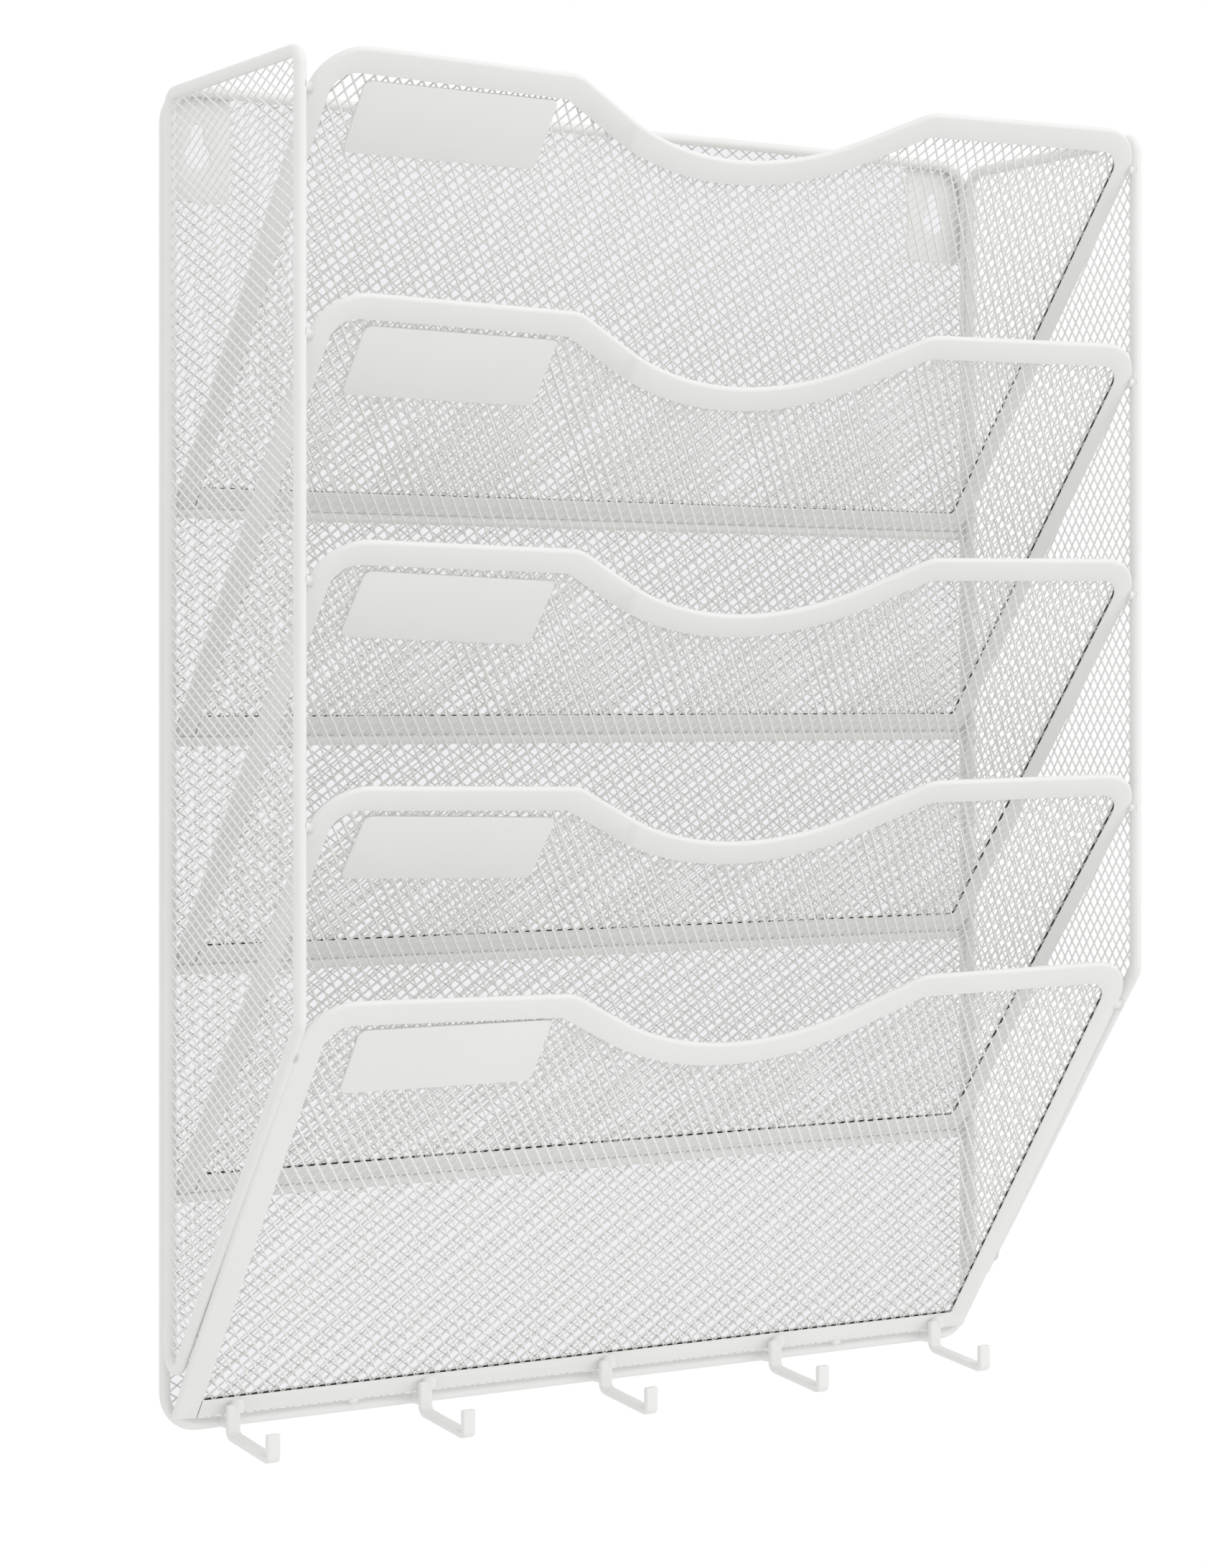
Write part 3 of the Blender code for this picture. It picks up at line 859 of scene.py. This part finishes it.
def rim_section():
    """The folded band's section as (distance in, share of the band, depth), inside last."""
    ease = rim_edge_round
    back = rim_front + rim_sheet
    fold_middle = rim_front + fold_radius
    rear = fold_middle + fold_radius
    flange = rear - flange_thickness
    points = [
        (-ease, 1, back),
        (-0.3 * ease, 1, back - 0.3 * ease),
        (0, 1, back - ease),
        (0, 1, rim_front + ease),
        (-0.3 * ease, 1, rim_front + 0.3 * ease),
        (-ease, 1, rim_front),
    ]
    for step in range(fold_steps + 1):
        angle = math.pi * step / fold_steps
        distance = fold_radius * (1 - math.sin(angle))
        points.append((distance, 0, fold_middle - fold_radius * math.cos(angle)))
    points += [
        (-ease, flange_share, rear),
        (0, flange_share, rear - ease * 0.6),
        (-ease * 0.5, flange_share, flange),
        (fold_radius, 0, flange),
        (fold_radius - fold_crease, 0, (flange + back) / 2),
        (fold_radius, 0, back),
        (-2 * ease, flange_share, back),
    ]
    return points


def folded_rim(reach):
    """The folded band all round one pocket front, its fold's inside with the second material, a
    near-black painted shade.
    """
    shape = bmesh.new()
    rows = []
    for distance, share, depth in rim_section():
        line = rim_line(reach, distance, share)
        rows.append([shape.verts.new((point.x, depth, point.y)) for point in line])
    inside = range(len(rows) - 5, len(rows) - 1)
    for place, (row, following) in enumerate(zip(rows, rows[1:] + rows[:1])):
        for i in range(len(row)):
            face = shape.faces.new((row[i - 1], row[i], following[i], following[i - 1]))
            # Faces inside the fold take the near-black painted shade.
            face.material_index = 1 if place in inside else 0
    mesh = bpy.data.meshes.new("rim")
    shape.to_mesh(mesh)
    shape.free()
    return smooth_outside(mesh)


def weld_nub(side, edge):
    """The weld between a rim's edge and the wire beside it: narrow in its middle."""
    root = abs(edge) - nub_sink_in_rim
    tip = half_width - side_wire_radius * nub_sink_in_wire
    stations = []
    for step in range(nub_steps + 1):
        share = step / nub_steps
        flare = nub_flare * (2 * share - 1) ** nub_curve
        stations.append((side * (root + (tip - root) * share), nub_waist + flare))
    return turned_bar(stations, squash=nub_squash)


def pocket_place(number):
    """Where a pocket front's own plane lies: it leans out from its wire."""
    height = pocket_spacing * (pocket_count - number)
    on_wire = Matrix.Translation(rack_foot + Vector((0, 0, height)))
    if number < pocket_count:
        return on_wire @ Matrix.Rotation(upper_tilt, 4, "X")
    forward = Matrix.Translation((0, -lowest_forward, 0))
    return on_wire @ Matrix.Rotation(lowest_tilt, 4, "X") @ forward


def pocket_reach(number):
    """A rim's bottom, top, left and right edges in its own plane, and its side bands."""
    if number < pocket_count:
        top = (front_reach + rim_overhang) / math.sin(upper_tilt)
        return cross_wire_radius + touch_gap, top, -half_rim, half_rim, side_band
    top = (front_reach + lowest_overhang) / math.sin(lowest_tilt)
    left = -half_rim - lowest_left_outset
    right = half_rim - lowest_right_inset
    return back_wire_radius + lowest_stand_off, top, left, right, lowest_side_band


def butt_joint(reach):
    """The slit between the left band and the end of the bottom one, to be cut out."""
    bottom, _, left, _, sides = reach
    edge = left + sides
    end = bottom + bottom_band + butt_overrun
    corners = rectangle(edge - butt_width, edge, bottom + butt_start, end)
    return sheet_solid(corners, rim_front - butt_overrun, butt_depth)


# Finish for the inside of the folds: near-black painted shade.
fold_shade_paint = powder_coat(
    "painted_shade_in_fold", fold_shade_black, roughness=(0.6, 0.75), peel_size=0.0009, thin_edges=0.0
)
for number in range(1, pocket_count + 1):
    reach = pocket_reach(number)
    bottom, _, left, right, _ = reach
    rim = combined(folded_rim(reach), butt_joint(reach), "DIFFERENCE")
    nubs = upper_nubs if number < pocket_count else lowest_nubs
    for side, depth, height in nubs:
        nub = weld_nub(side, left if side < 0 else right)
        nub.transform(Matrix.Translation((0, depth, height)))
        rim = combined(rim, nub, "UNION")
    if number == pocket_count:
        for across in tack_places:
            tack = weld_bead(Vector((across, tack_depth, bottom - tack_drop)), tack_half_sizes)
            rim = combined(rim, tack, "UNION")
    smooth_outside(rim)
    rim.transform(pocket_place(number))
    weld_on(f"rim_{number}", rim, [rim_coat, fold_shade_paint], "rim_coat", f"pocket_rim_{number}")


# Pocket meshes. Expanded steel with upright gaps, its edges held in the rims' folds. The
# strands lean like the slats of a louvre, so half of them face up and half of them down.
pocket_gap_across = 0.00407
pocket_gap_up = 0.00585
pocket_strand_width = 0.00058
pocket_strand_thickness = 0.00043
pocket_lean = math.radians(34)
net_depth = 0.00112
net_tuck = 0.45

for number in range(1, pocket_count + 1):
    net = net_over(
        rim_line(pocket_reach(number), 0, net_tuck),
        net_coat,
        {
            "Gap Across": pocket_gap_across,
            "Gap Up": pocket_gap_up,
            "Strand Width": pocket_strand_width,
            "Strand Thickness": pocket_strand_thickness,
            "Rising Lean": pocket_lean,
            "Falling Lean": -pocket_lean,
            "Bond Width": bond_short,
            "Bond Length": bond_long,
            "Strand Sides": strand_sides,
        },
    )
    net.transform(pocket_place(number) @ Matrix.Translation((0, net_depth, 0)) @ facing_front)
    weld_on(f"pocket_net_{number}", net, net_coat, "mesh_coat", f"pocket_mesh_{number}")


# Label plates. Five blank steel plates spot-welded to the front of the nets, each close
# under its rim's top band. Some of them are put on a little askew, their right end low.
label_width = 0.067
label_height = 0.0246
label_thickness = 0.0008
label_corner_radius = 0.0025
label_top_gap = 0.0008
label_side_gap = 0.0107
label_turns = [math.radians(turn) for turn in (0, 0.8, 2.2, 1.9, 0)]
label_front = -0.0003
label_edge_round = 0.0002
label_corner_steps = 10
label_white = (0.86, 0.86, 0.848)


def label_top(reach, left, right):
    """The height of a label's top edge, just under the band at both its ends."""
    notch, knee, shoulder = inner_corners(reach, 0, 1)[4:]
    heights = []
    for place in (left, right):
        on_shoulder = knee.y + (shoulder.y - knee.y) * (knee.x - place) / (knee.x - shoulder.x)
        on_notch = knee.y + (notch.y - knee.y) * (place - knee.x) / (notch.x - knee.x)
        heights.append(min(on_shoulder, on_notch))
    return min(heights) - label_top_gap


label_coat = powder_coat(
    "coat_on_label", label_white, roughness=(0.38, 0.50), peel_size=0.0009, thin_edges=0.4
)
for number in range(1, pocket_count + 1):
    left = -half_rim + side_band + label_side_gap
    upper = label_top(pocket_reach(number), left, left + label_width)
    corners = rectangle(left, left + label_width, upper - label_height, upper)
    turn = Matrix.Rotation(-label_turns[number - 1], 2)
    outline = rounded(corners, [label_corner_radius] * 4, [label_corner_steps] * 4)
    outline = [corners[3] + turn @ (point - corners[3]) for point in outline]
    label = eased(sheet_solid(outline, label_front, label_thickness), label_edge_round)
    label.transform(pocket_place(number))
    weld_on(f"blank_label_{number}", label, label_coat, "label_coat", f"label_plate_{number}")


# Hooks. Short strips of flat steel bent forward under the bottom wire and up again at the
# tip, each tied by one lump of weld to the lowest rim and by another to the bottom wire.
hook_count = 5
hook_end_inset = 0.020
hook_width = 0.0045
hook_thickness = 0.0021
hook_stem_top = 0.0068
hook_arm_drop = 0.0032
hook_arm_fall = 0.0026
hook_reach = 0.0289
hook_tip_height = 0.0084
hook_stem_inner_bend = 0.0016
hook_tip_inner_bend = 0.0004
hook_end_round = 0.0005
hook_edge_round = 0.0007
hook_corner_steps = [2, 10, 10, 2]
hook_weld_radius = 0.0014
hook_weld_flare = 0.0004
hook_weld_sink = 0.6
lump_across = 0.42
lump_inset = 0.0006
lump_half_sizes = (0.0025, 0.0021, 0.0027)
weld_grain = 0.00024


def strip_outline(path, thickness):
    """The corners of a strip along a path: down its left side and back up its right."""
    sides = []
    for distance in (thickness / 2, -thickness / 2):
        edges = []
        for start, end in zip(path, path[1:]):
            along = (end - start).normalized()
            edges.append((start + Vector((-along.y, along.x)) * distance, along))
        side = [edges[0][0]]
        for (start, along), (other, across) in zip(edges, edges[1:]):
            side.append(start + along * ((other - start).cross(across) / along.cross(across)))
        last_start, last_along = edges[-1]
        side.append(last_start + last_along * (path[-1] - path[-2]).length)
        sides.append(side)
    return sides[0] + sides[1][::-1]


def hook_strip():
    """The bent strip in the XZ plane, its front towards -X, and its stem's middle."""
    band_depth = (lowest_forward - rim_front) / math.cos(lowest_tilt)
    sheet_front = hook_stem_top * math.tan(lowest_tilt) + band_depth
    stem = -sheet_front - touch_gap / math.cos(lowest_tilt) - hook_thickness / 2
    tip = stem - hook_reach
    arm_end = -hook_arm_drop - hook_arm_fall
    path = [
        Vector((stem, hook_stem_top)),
        Vector((stem, -hook_arm_drop)),
        Vector((tip, arm_end)),
        Vector((tip, arm_end + hook_tip_height)),
    ]
    inner = [hook_end_round, hook_stem_inner_bend, hook_tip_inner_bend, hook_end_round]
    outer = [hook_end_round] + [bend + hook_thickness for bend in inner[1:3]] + [hook_end_round]
    corners = strip_outline(path, hook_thickness)
    outline = rounded(corners, outer + inner[::-1], hook_corner_steps * 2)
    return sheet_solid(outline, -hook_width / 2, hook_width), stem


def welded_hook():
    """The strip and its weld metal melted together, in place for X = 0."""
    strip, stem = hook_strip()
    strip = eased(strip, hook_edge_round)
    strip.transform(Matrix.Rotation(math.pi / 2, 4, "Z"))
    in_wire = -back_wire_radius * hook_weld_sink
    behind = turned_bar([(stem, hook_weld_radius), (in_wire, hook_weld_radius + hook_weld_flare)])
    behind.transform(Matrix.Rotation(math.pi / 2, 4, "Z"))
    lump_place = Vector((hook_width * lump_across, stem + lump_inset, hook_stem_top - lump_inset))
    lump = weld_bead(lump_place, lump_half_sizes)
    shape = bmesh.new()
    for part in (strip, behind, lump):
        shape.from_mesh(part)
    whole = bpy.data.meshes.new("hook")
    shape.to_mesh(whole)
    shape.free()
    item = scratch(whole)
    melted = item.modifiers.new("melted", "REMESH")
    melted.mode = "VOXEL"
    melted.voxel_size = weld_grain
    melted.use_smooth_shade = True
    relaxed = item.modifiers.new("relaxed", "SMOOTH")
    relaxed.factor = 0.5
    relaxed.iterations = 4
    mesh = mesh_of(item)
    mesh.shade_smooth()
    return mesh


hook = welded_hook()
first_hook = -half_width + hook_end_inset
hook_pitch = -2 * first_hook / (hook_count - 1)
for number in range(1, hook_count + 1):
    mesh = hook.copy()
    across = first_hook + hook_pitch * (number - 1)
    mesh.transform(Matrix.Translation(rack_foot + Vector((across, 0, 0))))
    weld_on(f"strip_hook_{number}", mesh, wire_coat, "wire_coat", f"hook_{number}")


# Floor. A plain pale sweep of studio paper well under the rack. It takes the light as any
# matt paper does, and far from the rack it is seen as plain white.
floor_drop = 1.25
floor_radius = 4.0
floor_white = (0.92, 0.92, 0.92)

floor_shape = bmesh.new()
bmesh.ops.create_circle(floor_shape, cap_ends=True, segments=96, radius=floor_radius)
floor_mesh = bpy.data.meshes.new("studio_floor")
floor_shape.to_mesh(floor_mesh)
floor_shape.free()
floor_mesh.transform(Matrix.Translation((0, 0, -floor_drop)))
floor = bpy.data.objects.new("studio_floor", floor_mesh)
bpy.context.scene.collection.objects.link(floor)
floor_paint = bpy.data.materials.new("floor_paint")
floor_paint.use_nodes = True
paint = floor_paint.node_tree
paint_surface = paint.nodes["Principled BSDF"]
paint_surface.inputs["Base Color"].default_value = (*floor_white, 1)
paint_surface.inputs["Roughness"].default_value = 0.8
glow = add_node(paint, "ShaderNodeEmission", {"Color": (1, 1, 1, 1), "Strength": 1.0})
path_kind = add_node(paint, "ShaderNodeLightPath")
from_middle = add_node(paint, "ShaderNodeTexCoord").outputs["Object"]
distance = add_node(paint, "ShaderNodeVectorMath", {0: from_middle}, operation="LENGTH")
far_off = add_node(
    paint,
    "ShaderNodeMapRange",
    {
        "Value": distance.outputs["Value"],
        "From Min": 1.5,
        "From Max": 2.6,
        "To Min": 0.0,
        "To Max": 1.0,
    },
)
seen_far = add_node(
    paint,
    "ShaderNodeMath",
    {0: far_off.outputs["Result"], 1: path_kind.outputs["Is Camera Ray"]},
    operation="MULTIPLY",
)
matt = paint_surface.outputs[0]
blend = add_node(paint, "ShaderNodeMixShader", {0: seen_far.outputs[0], 1: matt})
paint.links.new(glow.outputs[0], blend.inputs[2])
paint.links.new(blend.outputs[0], paint.nodes["Material Output"].inputs["Surface"])
floor_mesh.materials.append(floor_paint)


# Backdrop. A light grey sheet just behind the back frame and cut to its outline, glowing its own
# grey: a painted shadow that stands for the rack's shade on a wall behind it. It shows through the
# nets from the front only, and casts no light or shadow on the rack.
wall_shade_grey = (0.87, 0.87, 0.89)
backdrop_setback = 0.0045

backdrop_shape = bmesh.new()
backdrop_corners = [backdrop_shape.verts.new((point.x, 0, point.y)) for point in back_outline]
backdrop_shape.faces.new(backdrop_corners)
backdrop_mesh = bpy.data.meshes.new("studio_shade_card")
backdrop_shape.to_mesh(backdrop_mesh)
backdrop_shape.free()
backdrop_mesh.transform(Matrix.Translation(rack_foot + Vector((0, backdrop_setback, 0))))
backdrop = bpy.data.objects.new("studio_shade_card", backdrop_mesh)
bpy.context.scene.collection.objects.link(backdrop)
for light_kind in ("diffuse", "glossy", "transmission", "shadow"):
    setattr(backdrop, f"visible_{light_kind}", False)
wall_shade_paint = bpy.data.materials.new("wall_shade_paint")
wall_shade_paint.use_nodes = True
paper = wall_shade_paint.node_tree
# The sheet's light grey glow is a painted shadow: the shade the rack would cast on a wall behind
# it.
shown = add_node(paper, "ShaderNodeEmission", {"Color": (*wall_shade_grey, 1), "Strength": 1.0})
clear = paper.nodes.new("ShaderNodeBsdfTransparent")
rear_side = paper.nodes.new("ShaderNodeNewGeometry").outputs["Backfacing"]
one_sided = add_node(paper, "ShaderNodeMixShader", {0: rear_side, 1: shown.outputs[0]})
paper.links.new(clear.outputs[0], one_sided.inputs[2])
paper.links.new(one_sided.outputs[0], paper.nodes["Material Output"].inputs["Surface"])
backdrop_mesh.materials.append(wall_shade_paint)


# Studio light. Even white light from all round, and two wide soft lamps, one above the rack
# and one in front to its right.
rack_middle = Vector((0, -0.05, -0.2))
lamp_width = 1.4

world = bpy.data.worlds.new("studio")
bpy.context.scene.world = world
world.use_nodes = True
sky = world.node_tree
sky_light = sky.nodes["Background"]
sky_light.inputs["Color"].default_value = (1, 1, 1, 1)
sky_light.inputs["Strength"].default_value = 0.86
white_studio = add_node(sky, "ShaderNodeBackground", {"Color": (1, 1, 1, 1), "Strength": 1.0})
sky_path = add_node(sky, "ShaderNodeLightPath").outputs
not_lighting = sky_path["Is Camera Ray"]
for ray_kind in ("Is Glossy Ray", "Is Transmission Ray"):
    feeds = {0: not_lighting, 1: sky_path[ray_kind]}
    not_lighting = add_node(sky, "ShaderNodeMath", feeds, operation="MAXIMUM").outputs[0]
chosen = add_node(sky, "ShaderNodeMixShader", {0: not_lighting, 1: sky_light.outputs[0]})
sky.links.new(white_studio.outputs[0], chosen.inputs[2])
sky.links.new(chosen.outputs[0], sky.nodes["World Output"].inputs["Surface"])


def add_lamp(name, place, power):
    """A wide soft lamp aimed at the middle of the rack."""
    lamp = bpy.data.lights.new(name, "AREA")
    lamp.shape = "SQUARE"
    lamp.size = lamp_width
    lamp.energy = power
    item = bpy.data.objects.new(name, lamp)
    bpy.context.scene.collection.objects.link(item)
    item.location = place
    aim = rack_middle - item.location
    item.rotation_euler = aim.to_track_quat("-Z", "Y").to_euler()


add_lamp("lamp_above", Vector((0.5, -1.3, 1.7)), power=9.0)
add_lamp("lamp_front_right", Vector((1.6, -1.8, 0.1)), power=5.0)


# Camera. It stands level where the photograph was taken from, in front of the rack and to
# its left. Its frame is shifted down rather than tilted, so that uprights stay upright.
camera_data = bpy.data.cameras.new("camera")
camera_data.sensor_width = 36.0
camera_data.lens = 79.107
camera_data.shift_y = -0.059
camera = bpy.data.objects.new("camera", camera_data)
bpy.context.scene.collection.objects.link(camera)
camera.location = (-0.61664, -1.01206, -0.17993)
camera.rotation_euler = (math.radians(90), 0, math.radians(-31.6))
bpy.context.scene.camera = camera
bpy.context.scene.view_settings.view_transform = "Standard"
